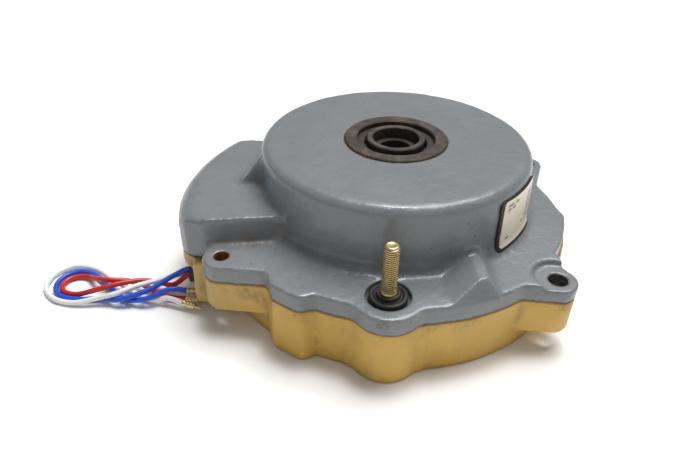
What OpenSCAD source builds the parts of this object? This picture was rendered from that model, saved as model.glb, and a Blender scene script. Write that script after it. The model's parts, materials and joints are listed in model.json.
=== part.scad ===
// Electromagnetic clutch in a two-part cast housing.
// Origin on the shaft axis, on the flat underside of the lower housing. +Z is up.
// The stud ear points to -Y and the cable lobe to -X. All lengths in mm.

/* [Housing] */
// Radius of the round flange at the joint face
flange_r = 109.5; // [100:0.5:120]
// Height of the lower housing, underside to joint face
base_h = 34; // [30:0.5:40]
// Thickness of the flange of the upper housing
flange_t = 10.5; // [8:0.5:14]
// Height of the flat top of the drum
drum_top = 83.5; // [75:0.5:95]
// Radius of the drum wall at its top
drum_r = 81; // [74:0.5:88]
// Slope of the drum wall, per mm of height
drum_draft = 0.019; // [0:0.001:0.05]
// Radius of the rounded top edge of the drum
drum_edge = 6; // [3:0.5:10]
// Radius of the cove between drum and flange
drum_cove = 7; // [3:0.5:10]
// Wall thickness of both castings
wall = 6; // [4:0.5:8]
// Height of the cable lobe above the flange
lobe_h = 15.5; // [10:0.5:22]

/* [Ears] */
// Outer radius of the plain ears
ear_r = 10.5; // [9:0.5:14]
// Outer radius of the ear that carries the stud
stud_ear_r = 19; // [15:0.5:22]
// Hole diameter of the left and rear ears
ear_hole = 8.4; // [6:0.1:10]
// Hole diameter of the two right ears
wide_hole = 10.5; // [8:0.1:12]

/* [Hub and bearings] */
// Outer diameter of both bearings
brg_od = 62; // [52:1:72]
// Diameter of the output sleeve
sleeve_d = 35; // [30:1:40]
// Bore of the output sleeve
sleeve_bore = 28; // [20:1:30]
// Journal diameter of the input hub
input_d = 30; // [25:1:35]
// Bore of the input hub
input_bore = 20; // [15:1:24]
// Height of the top end of the output sleeve
sleeve_top = 84.5; // [83:0.5:92]

/* [Clutch] */
// Outer radius of magnet, rotor and armature
plate_r = 73; // [68:0.5:74]
// Air gap between armature and friction lining
air_gap = 0.6; // [0.4:0.1:1]
// Number of drive pins
pin_n = 3; // [3:1:6]

/* [Stud] */
// Nominal diameter of the stud
stud_d = 8; // [6:1:10]
// Height of the tip of the stud
stud_top = 75.5; // [65:0.5:80]

/* [Leads] */
// Outer diameter of each lead
lead_d = 3.2; // [2:0.1:4]

/* [Hidden] */
$fn = 96;
flange_z = base_h + flange_t;
lobe_z = flange_z + lobe_h;
lobe_c = [-8, -20];
lobe_r = 118;
lobe_edge = 14;
cavity_r = flange_r - 7;
roof_t = 7;
boss_r = 38;
stud_xy = [2, -99.5];
shank_r = stud_d / 2 + 0.5;
grommet_top = flange_z + 2.5;
left_ear = [-90, -78];
right_ear = [91, -72];
rear_right_ear = [92, 55];
rear_ear = [-20, 112];
screw_r = 95;
screw_a = [-62, -22, 72, 112, 152];
magnet_z = 6;
magnet_top = 32.8;
coil_in = 47;
coil_out = 62;
rotor_z = 33.8;
rotor_top = 46.5;
lining_top = 47;
ledge_z = 77.5;
armature_z = lining_top + air_gap;
armature_t = 8;
pin_r = 61;
pin_d = 8;
plate_z = 59.5;
plate_t = 4;
spring_h = 6.5;
low_brg_z = 4;
low_brg_w = 16;
up_brg_z = 60;
up_brg_w = 14;
run = 0.05;
field_screw_r = 68.5;
grommet_at = [-112.5, -56, 14];
// Centre lines of the three leads, from the grommet round the loop to the free end.
route_blue = [
    [-108, -56, 16], [-118, -56, 16], [-128, -59.5, 12], [-138, -68.5, 8.9], [-148, -75, 7.2],
    [-158, -77, 4.5], [-168, -74, 2.3], [-180, -76, 1.8], [-190, -76, 1.8], [-198, -72, 1.8],
    [-202, -63.5, 1.8], [-199.5, -55, 1.8], [-191, -50.5, 1.8], [-180, -54.5, 1.8],
    [-168, -63.5, 2.3], [-158, -71, 1.9], [-148, -75, 3.6], [-138, -74.5, 6.3], [-128, -68, 8.5],
    [-118, -66, 7]];
route_red = [
    [-108, -57.7, 13], [-118, -57.7, 13], [-128, -60.5, 6], [-138, -58, 4.5], [-148, -60.5, 7.2],
    [-158, -66.5, 8.9], [-168, -72, 8.5], [-177, -72.5, 5], [-184, -72.5, 2.5], [-189.5, -72, 1.8],
    [-194, -70.5, 1.8], [-197, -67.5, 1.8], [-198, -63.5, 1.8], [-197, -59.5, 1.8],
    [-194, -56.5, 1.8], [-189.5, -55, 1.8], [-184, -56, 2.6], [-177.5, -60.5, 5.7],
    [-168, -64, 8.3], [-158, -61, 6.5], [-148, -60.5, 3.6], [-138, -64, 1.9], [-128, -68, 2.3],
    [-118, -68.5, 2.7]];
route_white = [
    [-108, -54.3, 13], [-118, -54.3, 13], [-128, -55, 9], [-138, -60, 7.9], [-148, -68, 9],
    [-158, -75, 7.9], [-168, -77, 5.4], [-183, -80, 2.2], [-197, -77.5, 1.8], [-207, -68, 1.8],
    [-207.5, -55, 1.8], [-198.5, -46, 1.8], [-184, -47.5, 2.2], [-168, -59, 5.4], [-158, -63, 2.9],
    [-148, -68, 1.8], [-138, -72, 2.9], [-128, -72.5, 5.4], [-118, -74.5, 4.6]];

// ---- shared shapes ----

// Points of an arc from angle a to angle b, in the plane of a profile.
function arc(c, r, a, b, n = 12) = [for (i = [0:n])
    c + r * [cos(a + (b - a) * i / n), sin(a + (b - a) * i / n)]];

// Plain ring.
module ring(ro, ri, z0, z1) {
    rotate_extrude()
        polygon([[ri, z0], [ro, z0], [ro, z1], [ri, z1]]);
}

// Ring of solids at equal angles.
module around(n, r, a0 = 0) {
    for (i = [0:n - 1]) rotate([0, 0, a0 + i * 360 / n]) translate([r, 0, 0]) children();
}

// Places its child at each housing screw.
module at_screws() {
    for (a = screw_a) rotate([0, 0, a]) translate([screw_r, 0, 0]) children();
}

// Outline of one ear at polar distance d, with a round foot of radius f each side.
module round_ear(c, r, f) {
    d = norm(c);
    a = atan2(c[1], c[0]);
    k = acos((d * d + pow(flange_r + f, 2) - pow(r + f, 2)) / (2 * d * (flange_r + f)));
    foot_r = flange_r + f;
    difference() {
        union() {
            translate(c) circle(r);
            polygon([[0, 0], foot_r * [cos(a - k), sin(a - k)], c, foot_r * [cos(a + k), sin(a + k)]]);
        }
        for (s = [-1, 1]) translate(foot_r * [cos(a + s * k), sin(a + s * k)]) circle(f);
    }
}

// Round flange with the flat on its right rear, drawn in to radius r on its right side.
module flange_disc(r) {
    difference() {
        circle(flange_r);
        polygon([[125, -9], [104.6, -9], [102.2, 1], [99.6, 12], [96.2, 22], [94.6, 27],
            [94.6, 54], [125, 54]]);
        difference() {
            translate([80, -72]) square([40, 80]);
            circle(r);
        }
    }
}

module left_ear_outline() {
    translate(left_ear) circle(ear_r);
    polygon([[-90, -88.5], [-63, -88.5], [-50, -60], [-100.5, -60], [-100.5, -78]]);
}

module right_ear_outline() {
    translate(right_ear) circle(ear_r);
    polygon([[91, -82.5], [70.5, -82.5], [62, -90], [50, -60], [94.5, -52], [95.3, -60], [100, -67]]);
}

module rear_right_ear_outline() {
    translate(rear_right_ear) circle(ear_r);
    polygon([[102.5, 55], [95, 27], [60, 20], [60, 92], [90, 65.3]]);
}

module rear_ear_outline() {
    translate(rear_ear) circle(ear_r);
    polygon([[-30.5, 112], [-38, 100], [-30, 70], [0, 70], [0, 108], [-9.5, 112]]);
}

module lug_outline() {
    polygon([[-62, -91], [-58.6, -98.6], [-47.5, -104.8], [-41.8, -107], [-36, -104], [-45, -80]]);
}

// Outline of the cable lobe, drawn in by t.
module lobe_outline(t = 0) {
    intersection() {
        translate(lobe_c) circle(lobe_r - t);
        polygon([[-44, -55 + t], [-103, -68.5 + t], [-113 + t * 0.4, -66.5 + t],
            [-122 + t, -58 + t * 0.4], [-140, -30], [-140, 34 - t], [-60, 34 - t]]);
    }
}

module flange_outline() {
    flange_disc(106);
    round_ear(stud_xy, stud_ear_r, 10);
    left_ear_outline();
    right_ear_outline();
    rear_right_ear_outline();
    rear_ear_outline();
    lug_outline();
}

// ---- castings ----

// Drum with rounded top edge and a cove at its foot.
module drum_body() {
    foot_r = drum_r + (drum_top - flange_z) * drum_draft;
    rotate_extrude()
        polygon(concat(
            [[0, base_h + 3], [foot_r + drum_cove, base_h + 3], [foot_r + drum_cove, flange_z + 0.2]],
            arc([foot_r + drum_cove, flange_z + 0.2 + drum_cove], drum_cove, 265, 181, 8),
            [[drum_r + 0.1, drum_top - drum_edge]],
            arc([drum_r + 0.1 - drum_edge, drum_top - drum_edge], drum_edge, 8, 90, 8),
            [[0, drum_top]]));
}

// Cable lobe with a large rounded outer edge.
module lobe_body() {
    intersection() {
        translate([lobe_c[0], lobe_c[1], 0]) rotate_extrude()
            polygon(concat([[40, base_h], [lobe_r + 2, base_h], [lobe_r + 2, lobe_z - lobe_edge]],
                arc([lobe_r + 2 - lobe_edge, lobe_z - lobe_edge], lobe_edge, 0, 90, 8), [[40, lobe_z]]));
        translate([0, 0, base_h]) linear_extrude(lobe_h + flange_t + 1) lobe_outline();
    }
}

// Rib with one gentle and one steep side, running out from the drum to the flange edge.
module flange_rib() {
    difference() {
        translate([47, -80, flange_z - 2]) rotate([0, 0, 9]) rotate([90, 0, 0])
            linear_extrude(46, center = true)
                polygon([[-20, 0], [-17.5, 2], [-2, 10.5], [3, 10.5], [9, 2], [10, 0]]);
        translate([31, -104.5, flange_z]) rotate([0, 0, 23]) rotate([58, 0, 0])
            translate([-40, -60, 0]) cube([120, 120, 40]);
        translate([0, 0, base_h]) cylinder(r = drum_r - 8, h = 40);
    }
}

// Triangular web between the lobe and the drum.
module lobe_web() {
    polyhedron(points = [[-92, -26, lobe_z - 1], [-66, -26, lobe_z - 1], [-79, 32, lobe_z - 1],
        [-78, -25, drum_top - 4.5], [-68, -25, drum_top - 4.5]],
        faces = [[0, 1, 4, 3], [0, 3, 2], [3, 4, 2], [1, 2, 4], [0, 2, 1]]);
}

// Metal left standing inside both castings: stud pillar, screw pillars and the wall behind the flat.
module cavity_keep() {
    translate([stud_xy[0], stud_xy[1], 0]) cylinder(r = 15, h = 60);
    at_screws() cylinder(r = 8, h = 60);
    translate([rear_right_ear[0], rear_right_ear[1], 0]) cylinder(r = ear_r, h = 60);
    linear_extrude(60)
        polygon([[125, -12], [98.5, -12], [95.5, 2], [92.5, 13], [89.5, 22], [88, 27],
            [88, 45], [125, 45]]);
}

module upper_cavity() {
    difference() {
        rotate_extrude()
            polygon([[0, base_h - 1], [cavity_r, base_h - 1], [cavity_r, base_h + 5.5],
                [drum_r - wall, base_h + 5.5], [drum_r - wall, drum_top - roof_t],
                [boss_r + 2, drum_top - roof_t], [boss_r, up_brg_z - 3], [0, up_brg_z - 3]]);
        cavity_keep();
    }
    translate([0, 0, base_h - 1]) linear_extrude(lobe_h + flange_t - 6)
        difference() {
            lobe_outline(7);
            circle(cavity_r - 1);
        }
}

module upper_housing() {
    color([0.55, 0.58, 0.6]) difference() {
        union() {
            translate([0, 0, base_h]) linear_extrude(flange_t) flange_outline();
            drum_body();
            lobe_body();
            flange_rib();
            lobe_web();
        }
        upper_cavity();
        translate([0, 0, up_brg_z]) cylinder(d = brg_od, h = 40);
        translate([0, 0, up_brg_z - 5]) cylinder(d = brg_od - 8, h = 40);
        translate([left_ear[0], left_ear[1], base_h - 1]) cylinder(d = ear_hole, h = 30);
        translate([rear_ear[0], rear_ear[1], base_h - 1]) cylinder(d = ear_hole, h = 30);
        translate([right_ear[0], right_ear[1], base_h - 1]) cylinder(d = wide_hole, h = 30);
        translate([right_ear[0], right_ear[1], flange_z - 3]) cylinder(r = 13.5, h = 20);
        translate([rear_right_ear[0], rear_right_ear[1], base_h - 1]) cylinder(d = wide_hole, h = 30);
        translate([stud_xy[0], stud_xy[1], base_h - 1]) cylinder(d = 14, h = 30);
        translate([stud_xy[0], stud_xy[1], flange_z - 4]) cylinder(d = 23.5, h = 20);
        at_screws() translate([0, 0, base_h - 1]) cylinder(d = 5.9, h = 9);
    }
}

// Round part of the lower housing, slightly narrower at the bottom.
module pan_body() {
    intersection() {
        rotate_extrude()
            polygon([[0, 0], [flange_r - 1.5, 0], [flange_r + 0.1, base_h], [0, base_h]]);
        linear_extrude(base_h) flange_disc(107.5);
    }
}

module lower_lobe() {
    translate([0, 0, base_h - 10]) linear_extrude(10) lobe_outline();
    translate([0, 0, 7]) linear_extrude(base_h - 8) lobe_outline(9);
    translate([-109, -75, 7]) cube([9, 24, base_h - 8]);
}

module lower_cavity() {
    difference() {
        rotate_extrude()
            polygon([[boss_r, 6], [cavity_r, 6], [cavity_r, base_h + 1], [0, base_h + 1],
                [0, low_brg_z + low_brg_w + 5], [boss_r, low_brg_z + low_brg_w + 5]]);
        cavity_keep();
    }
    translate([0, 0, 12]) linear_extrude(base_h)
        difference() {
            lobe_outline(14);
            circle(cavity_r + 5);
        }
    // Window from the cable chamber to the coil space.
    translate([-112, -30, 16]) cube([20, 14, 10]);
    // Way from the grommet into the cable chamber.
    translate([-107, -60, grommet_at[2] - 4]) cube([5, 12, 8]);
}

module lower_housing() {
    color([0.78, 0.63, 0.3]) difference() {
        union() {
            pan_body();
            linear_extrude(base_h) round_ear(stud_xy, stud_ear_r - 0.8, 10);
            linear_extrude(base_h) lug_outline();
            translate([0, 0, 14]) linear_extrude(base_h - 14) left_ear_outline();
            translate([0, 0, 12]) linear_extrude(base_h - 12) right_ear_outline();
            linear_extrude(base_h) rear_right_ear_outline();
            translate([0, 0, 12]) linear_extrude(base_h - 12) rear_ear_outline();
            lower_lobe();
        }
        lower_cavity();
        translate([0, 0, low_brg_z]) cylinder(d = brg_od, h = 60);
        translate([0, 0, -1]) cylinder(d = 47, h = 10);
        translate([left_ear[0], left_ear[1], -1]) cylinder(d = ear_hole, h = 60);
        translate([rear_ear[0], rear_ear[1], -1]) cylinder(d = ear_hole, h = 60);
        translate([right_ear[0], right_ear[1], -1]) cylinder(d = wide_hole, h = 60);
        translate([rear_right_ear[0], rear_right_ear[1], -1]) cylinder(d = wide_hole, h = 60);
        translate([stud_xy[0], stud_xy[1], 12]) cylinder(r = shank_r, h = 60);
        at_screws() translate([0, 0, -1]) cylinder(d = 6.4, h = 60);
        at_screws() translate([0, 0, -1]) cylinder(d = 10.6, h = 8);
        around(4, field_screw_r, 45) translate([0, 0, -1]) cylinder(d = 5.4, h = 20);
        around(4, field_screw_r, 45) translate([0, 0, -1]) cylinder(d = 9, h = 4.2);
        translate(grommet_at + [-6, 0, 0]) rotate([0, 90, 0]) cylinder(d = 10, h = 13);
    }
}

// ---- bearings and seals ----

// Outer ring of a ball bearing: width w, groove for balls of diameter b on pitch radius p.
module outer_race(w, p, b) {
    difference() {
        ring(brg_od / 2, p + b * 0.3, 0, w);
        translate([0, 0, w / 2]) rotate_extrude() translate([p, 0]) circle(d = b + run);
    }
}

module inner_race(w, p, b, bore) {
    difference() {
        ring(p - b * 0.3, bore / 2, 0, w);
        translate([0, 0, w / 2]) rotate_extrude() translate([p, 0]) circle(d = b + run);
    }
}

module ball_row(w, p, b, n) {
    around(n, p) translate([0, 0, w / 2]) sphere(d = b - run);
}

module ball_cage(w, p, b, n) {
    difference() {
        ring(p + b * 0.22, p - b * 0.22, w / 2 - b / 2 - 1, w / 2 + b / 2 + 1);
        around(n, p) translate([-b, 0, w / 2]) rotate([0, 90, 0]) cylinder(d = b + 0.1, h = 2 * b);
    }
}

module upper_bearing_outer_ring() {
    color([0.75, 0.76, 0.78]) translate([0, 0, up_brg_z]) outer_race(up_brg_w, 24.25, 8);
}

module upper_bearing_inner_ring() {
    color([0.75, 0.76, 0.78]) translate([0, 0, up_brg_z]) inner_race(up_brg_w, 24.25, 8, sleeve_d);
}

module upper_bearing_balls() {
    color([0.85, 0.86, 0.88]) translate([0, 0, up_brg_z]) ball_row(up_brg_w, 24.25, 8, 11);
}

module upper_bearing_cage() {
    color([0.7, 0.55, 0.3]) translate([0, 0, up_brg_z]) ball_cage(up_brg_w, 24.25, 8, 11);
}

module lower_bearing_outer_ring() {
    color([0.75, 0.76, 0.78]) translate([0, 0, low_brg_z]) outer_race(low_brg_w, 23, 9.5);
}

module lower_bearing_inner_ring() {
    color([0.75, 0.76, 0.78]) translate([0, 0, low_brg_z]) inner_race(low_brg_w, 23, 9.5, input_d);
}

module lower_bearing_balls() {
    color([0.85, 0.86, 0.88]) translate([0, 0, low_brg_z]) ball_row(low_brg_w, 23, 9.5, 9);
}

module lower_bearing_cage() {
    color([0.7, 0.55, 0.3]) translate([0, 0, low_brg_z]) ball_cage(low_brg_w, 23, 9.5, 9);
}

// Internal circlip above the lower bearing, open towards +Y.
module lower_bearing_circlip() {
    color([0.25, 0.25, 0.27]) difference() {
        ring(brg_od / 2, brg_od / 2 - 3.5, low_brg_z + low_brg_w, low_brg_z + low_brg_w + 2);
        translate([-5, 10, 0]) cube([10, 40, 60]);
    }
}

// Dark ring flush with the drum; it holds the bearing down and carries the seal.
module bearing_retainer() {
    color([0.2, 0.19, 0.18]) rotate_extrude()
        polygon([[23.5, 74], [31, 74], [31, 83.9], [30.4, 84.5], [24.1, 84.5], [23.5, 83.9]]);
}

module output_shaft_seal() {
    color([0.12, 0.12, 0.12]) rotate_extrude()
        polygon([[sleeve_d / 2 + run, 77], [sleeve_d / 2 + run, 75.5], [20, 74.6], [23.5, 74.6],
            [23.5, 81.4], [19.2, 81.4], [18.4, 79.5], [20.5, 79.5], [20.5, 77]]);
}

module input_shaft_seal() {
    color([0.12, 0.12, 0.12]) rotate_extrude()
        polygon([[input_d / 2 + run, 2.4], [input_d / 2 + run, 1.2], [18, 0.4], [23.5, 0.4], [23.5, 3.6],
            [17.5, 3.6]]);
}

// ---- rotating input side ----

module input_hub() {
    color([0.6, 0.61, 0.63]) difference() {
        rotate_extrude()
            polygon([[input_bore / 2, 1], [14.4, 1], [15, 1.6], [15, 20.2], [20, 20.2], [20, rotor_z],
                [17.5, rotor_z], [17.5, 50], [12, 50], [12, 66], [11.4, 66.6], [input_bore / 2, 66.6]]);
        translate([14, -3, rotor_z]) cube([5, 6, rotor_top - rotor_z + 0.3]);
        ring(18, 16.5, rotor_top + 0.3, rotor_top + 2.1);
    }
}

module rotor_key() {
    color([0.5, 0.5, 0.52]) translate([14.1, -2.95, rotor_z + 0.2])
        cube([5.7, 5.9, rotor_top - rotor_z - 0.4]);
}

// Rotor: hub, slotted web and two pole rings, with a groove for the lining.
module rotor() {
    color([0.58, 0.58, 0.58]) difference() {
        rotate_extrude()
            polygon([[17.5, rotor_z], [plate_r, rotor_z], [plate_r, rotor_top], [70, rotor_top],
                [70, rotor_top - 2.5], [56, rotor_top - 2.5], [56, rotor_top], [50, rotor_top],
                [50, rotor_top - 3], [28, rotor_top - 3], [28, rotor_top], [17.5, rotor_top]]);
        translate([14, -3, rotor_z - 1]) cube([6, 6, 30]);
        for (i = [0:5]) rotate([0, 0, i * 60]) rotate_extrude(angle = 44)
            polygon([[52, rotor_z - 1], [54.5, rotor_z - 1], [54.5, rotor_top + 1], [52, rotor_top + 1]]);
        around(6, 39, 30) translate([0, 0, rotor_z - 1]) cylinder(d = 12, h = 30);
    }
}

module friction_lining() {
    color([0.35, 0.27, 0.2]) ring(70, 56, rotor_top - 2.5, lining_top);
}

// External circlip that holds the rotor on the input hub, open towards -X.
module rotor_circlip() {
    color([0.25, 0.25, 0.27]) difference() {
        ring(21.5, 16.6, rotor_top + 0.4, rotor_top + 2);
        translate([-40, -3, 0]) cube([30, 6, 60]);
    }
}

// ---- field ----

module magnet_body() {
    color([0.5, 0.5, 0.52]) difference() {
        ring(plate_r, 40, magnet_z, magnet_top);
        ring(coil_out, coil_in, magnet_z + 6, magnet_top + 1);
        around(4, field_screw_r, 45) translate([0, 0, magnet_z - 1]) cylinder(d = 5, h = 13);
        translate([-coil_out - 12, -3, magnet_z + 8]) cube([20, 6, 6]);
    }
}

module coil_bobbin() {
    color([0.85, 0.83, 0.75]) rotate_extrude()
        polygon([[coil_in, 12], [coil_out, 12], [coil_out, 13.5], [coil_in + 1.5, 13.5],
            [coil_in + 1.5, 28.5], [coil_out, 28.5], [coil_out, 30], [coil_in, 30]]);
}

module coil_winding() {
    color([0.7, 0.36, 0.16]) ring(coil_out - 0.8, coil_in + 1.5, 13.5, 28.5);
}

module coil_potting() {
    color([0.2, 0.16, 0.13]) ring(coil_out, coil_in, 30, magnet_top - 0.2);
}

module magnet_screws() {
    color([0.3, 0.3, 0.32]) around(4, field_screw_r, 45) difference() {
        union() {
            translate([0, 0, 0.3]) cylinder(d = 8.5, h = 2.9);
            cylinder_z(5, 3.2, 17);
        }
        cylinder(d = 4, h = 2, $fn = 6);
    }
}

module cylinder_z(d, z0, z1) {
    translate([0, 0, z0]) cylinder(d = d, h = z1 - z0);
}

// ---- rotating output side ----

// Output sleeve with a dished flange that guides the drive pins. A shoulder inside the sleeve
// leaves a smaller keyed bore.
module output_hub() {
    color([0.22, 0.22, 0.22]) difference() {
        rotate_extrude()
            polygon([[sleeve_bore / 2 + 0.5, sleeve_top], [sleeve_bore / 2, sleeve_top - 0.5],
                [sleeve_bore / 2, ledge_z], [input_bore / 2, ledge_z], [input_bore / 2, 69], [14, 69],
                [14, 51.5], [46, 51.5], [46, plate_z], [plate_r, plate_z], [plate_r, plate_z + plate_t],
                [42, plate_z + plate_t], [42, 56], [21, 56], [21, up_brg_z], [17.5, up_brg_z],
                [17.5, sleeve_top - 0.6], [17, sleeve_top]]);
        translate([-3, -12.8, 68]) cube([6, 6, 12]);
        around(pin_n, pin_r) translate([0, 0, 50]) cylinder(d = 13, h = 30);
        around(pin_n, pin_r, 60) translate([0, 0, 50]) cylinder(d = 15, h = 30);
    }
}

module output_circlip() {
    color([0.25, 0.25, 0.27]) difference() {
        ring(19.2, 17.5, 74.05, 74.55);
        translate([-40, -3, 0]) cube([30, 6, 90]);
    }
}

module pilot_bush() {
    color([0.72, 0.5, 0.24]) ring(14, 12 + run, 58, 68.9);
}

module pin_bushes() {
    color([0.72, 0.5, 0.24]) around(pin_n, pin_r) ring(6.5, pin_d / 2 + run, plate_z, plate_z + plate_t);
}

// Pins pressed into the armature; their heads take the return springs.
module drive_pins() {
    color([0.62, 0.63, 0.65]) around(pin_n, pin_r) {
        cylinder_z(pin_d, armature_z + 2, plate_z + plate_t + spring_h + 0.1);
        cylinder_z(12, armature_z + armature_t, plate_z - 0.3);
        cylinder_z(14, plate_z + plate_t + spring_h + 0.1, plate_z + plate_t + spring_h + 2.5);
    }
}

// Coil springs between the flange of the output hub and the pin heads.
module return_springs() {
    turn = [for (k = [0:54]) [5.6 * cos(k * 24), 5.6 * sin(k * 24), 0.8 + k * (spring_h - 1.4) / 54]];
    color([0.6, 0.62, 0.66]) around(pin_n, pin_r) translate([0, 0, plate_z + plate_t]) sweep(turn, 1.2, 6);
}

module armature_disc() {
    color([0.55, 0.55, 0.55]) difference() {
        ring(plate_r, 50, armature_z, armature_z + armature_t);
        around(pin_n, pin_r) translate([0, 0, armature_z + 2]) cylinder(d = pin_d, h = 20);
        around(pin_n, pin_r, 60) translate([0, 0, armature_z - 1]) cylinder(d = 6, h = 20);
    }
}

// ---- fasteners and fittings ----

module housing_screws() {
    color([0.3, 0.3, 0.32]) at_screws() difference() {
        union() {
            translate([0, 0, 1]) cylinder(d = 10, h = 6);
            cylinder_z(5.9, 7, base_h + 7);
        }
        cylinder(d = 5.8, h = 4, $fn = 6);
    }
}

// Stud with a plain shank in the casting, its thread drawn at the major diameter.
module stud() {
    color([0.8, 0.68, 0.4]) translate([stud_xy[0], stud_xy[1], 0]) rotate_extrude()
        polygon([[0, 12.3], [shank_r, 12.3], [shank_r, grommet_top], [stud_d / 2, grommet_top],
            [stud_d / 2, stud_top - 1], [stud_d / 2 - 1, stud_top], [0, stud_top]]);
}

module stud_grommet() {
    color([0.08, 0.07, 0.06]) translate([stud_xy[0], stud_xy[1], 0]) rotate_extrude()
        polygon([[shank_r, base_h + 0.2], [7, base_h + 0.2], [7, flange_z - 4], [10.2, flange_z - 4],
            [10.2, flange_z + 0.6], [9.4, flange_z + 1.4], [6.2, flange_z + 1.6], [5.8, grommet_top],
            [shank_r, grommet_top]]);
}

module cable_grommet() {
    color([0.1, 0.1, 0.1]) translate(grommet_at) rotate([0, -90, 0]) difference() {
        union() {
            translate([0, 0, -5]) cylinder(d = 10, h = 7);
            translate([0, 0, 2]) cylinder(d = 13, h = 2.5);
        }
        translate([0, 0, -8]) cylinder(d = 7.4, h = 20);
    }
}

module terminal_block() {
    color([0.12, 0.12, 0.13]) translate([-99, -17, 6]) difference() {
        cube([12, 34, 12]);
        for (i = [0:2]) translate([6, 6 + i * 11, 7]) cylinder(d = 5.2, h = 6);
    }
}

module terminal_screws() {
    color([0.75, 0.65, 0.4]) for (i = [0:2]) translate([-93, -11 + i * 11, 13]) difference() {
        cylinder(d = 5, h = 3);
        translate([-3, -0.4, 2.2]) cube([6, 0.8, 2]);
    }
}

// Curved plate on the drum wall, from angle a0 to angle a1; its profile gives height above the wall.
module wall_plate(a0, a1, profile) {
    rotate([0, 0, a0]) rotate_extrude(angle = a1 - a0)
        polygon([for (p = profile) [drum_r + (drum_top - p[1]) * drum_draft + p[0], p[1]]]);
}

module label_backing() {
    color([0.05, 0.05, 0.05]) wall_plate(-45.3, -16.5, [[2.05, 46.8], [3.2, 46.8], [2.3, 48],
        [1.65, 49.4], [1.3, 51.6], [1.2, 77.4], [0, 77.4], [0.15, 51.6], [0.5, 49.4], [1.15, 48]]);
}

module label() {
    color([0.9, 0.88, 0.82]) wall_plate(-43.6, -17, [[2.3, 48], [2.6, 48], [1.95, 49.4],
        [1.6, 51.6], [1.5, 77], [1.2, 77], [1.3, 51.6], [1.65, 49.4]]);
}

// ---- leads ----

// Point on a smooth curve through the route p, at segment i and fraction t.
function curve(p, i, t) = let (
    a = p[max(i - 1, 0)],
    b = p[i],
    c = p[i + 1],
    d = p[min(i + 2, len(p) - 1)])
    0.5 * (2 * b + (c - a) * t + (2 * a - 5 * b + 4 * c - d) * t * t + (3 * b - 3 * c + d - a) * t * t * t);

function unit(v) = v / norm(v);

// Centres and directions of the rings, one ring per step of a segment fraction.
function ring_at(p, k, m) = curve(p, min(floor(k * m), len(p) - 2), k * m - min(floor(k * m), len(p) - 2));

// Tube of diameter d with f sides, swept along the centres c.
module sweep(c, d, f) {
    n = len(c);
    dir = [for (k = [0:n - 1]) unit(c[min(k + 1, n - 1)] - c[max(k - 1, 0)])];
    side = [for (k = [0:n - 1]) unit(cross(dir[k], [0, 0, 1]))];
    up = [for (k = [0:n - 1]) cross(side[k], dir[k])];
    pts = [for (k = [0:n - 1]) for (j = [0:f - 1])
        c[k] + d / 2 * (cos((j + 0.5) * 360 / f) * side[k] + sin((j + 0.5) * 360 / f) * up[k])];
    walls = [for (k = [0:n - 2]) for (j = [0:f - 1])
        [k * f + j, k * f + (j + 1) % f, (k + 1) * f + (j + 1) % f, (k + 1) * f + j]];
    polyhedron(points = pts, faces = concat(walls, [[for (j = [0:f - 1]) f - 1 - j]],
        [[for (j = [0:f - 1]) (n - 1) * f + j]]));
}

// Lead along a route, with n rings.
module lead_tube(p, n) {
    m = (len(p) - 1) / (n - 1);
    sweep([for (k = [0:n - 1]) ring_at(p, k, m)], lead_d, 8);
}

// Crimp sleeve with a pin, face to face with the end of a route.
module ferrule(p) {
    n = len(p);
    e = p[n - 1];
    d = unit(e - curve(p, n - 2, 0.8));
    translate(e) rotate([0, acos(d[2]), atan2(d[1], d[0])]) {
        cylinder(d = lead_d + 0.6, h = 8);
        translate([0, 0, 8]) cylinder(d = 1.8, h = 4);
    }
}

module lead_blue() {
    color([0.1, 0.25, 0.75]) lead_tube(route_blue, 27);
}

module lead_red() {
    color([0.75, 0.1, 0.12]) lead_tube(route_red, 26);
}

module lead_white() {
    color([0.9, 0.9, 0.92]) lead_tube(route_white, 27);
}

module ferrule_blue() {
    color([0.6, 0.5, 0.25]) ferrule(route_blue);
}

module ferrule_red() {
    color([0.6, 0.5, 0.25]) ferrule(route_red);
}

module ferrule_white() {
    color([0.6, 0.5, 0.25]) ferrule(route_white);
}

upper_housing();
lower_housing();
bearing_retainer();
output_shaft_seal();
upper_bearing_outer_ring();
upper_bearing_inner_ring();
upper_bearing_balls();
upper_bearing_cage();
output_hub();
output_circlip();
pin_bushes();
drive_pins();
return_springs();
armature_disc();
friction_lining();
rotor();
rotor_key();
input_hub();
rotor_circlip();
pilot_bush();
magnet_body();
coil_bobbin();
coil_winding();
coil_potting();
magnet_screws();
lower_bearing_outer_ring();
lower_bearing_inner_ring();
lower_bearing_balls();
lower_bearing_cage();
lower_bearing_circlip();
input_shaft_seal();
housing_screws();
stud();
stud_grommet();
cable_grommet();
terminal_block();
terminal_screws();
label_backing();
label();
lead_blue();
lead_red();
lead_white();
ferrule_blue();
ferrule_red();
ferrule_white();
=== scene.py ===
"""Looks of the electromagnetic clutch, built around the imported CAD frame.

Metres, +Z up, origin on the shaft axis at the underside. The castings are remeshed from their
CAD nodes with cast fillets; the stud gets its thread, the label its plate, the leads their round
sheath, and the return springs their coils. Every other piece is its CAD node with a material.
"""

import json
import math

import bmesh
import bpy
import numpy as np
from mathutils import Matrix, Quaternion, Vector, noise


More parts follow.
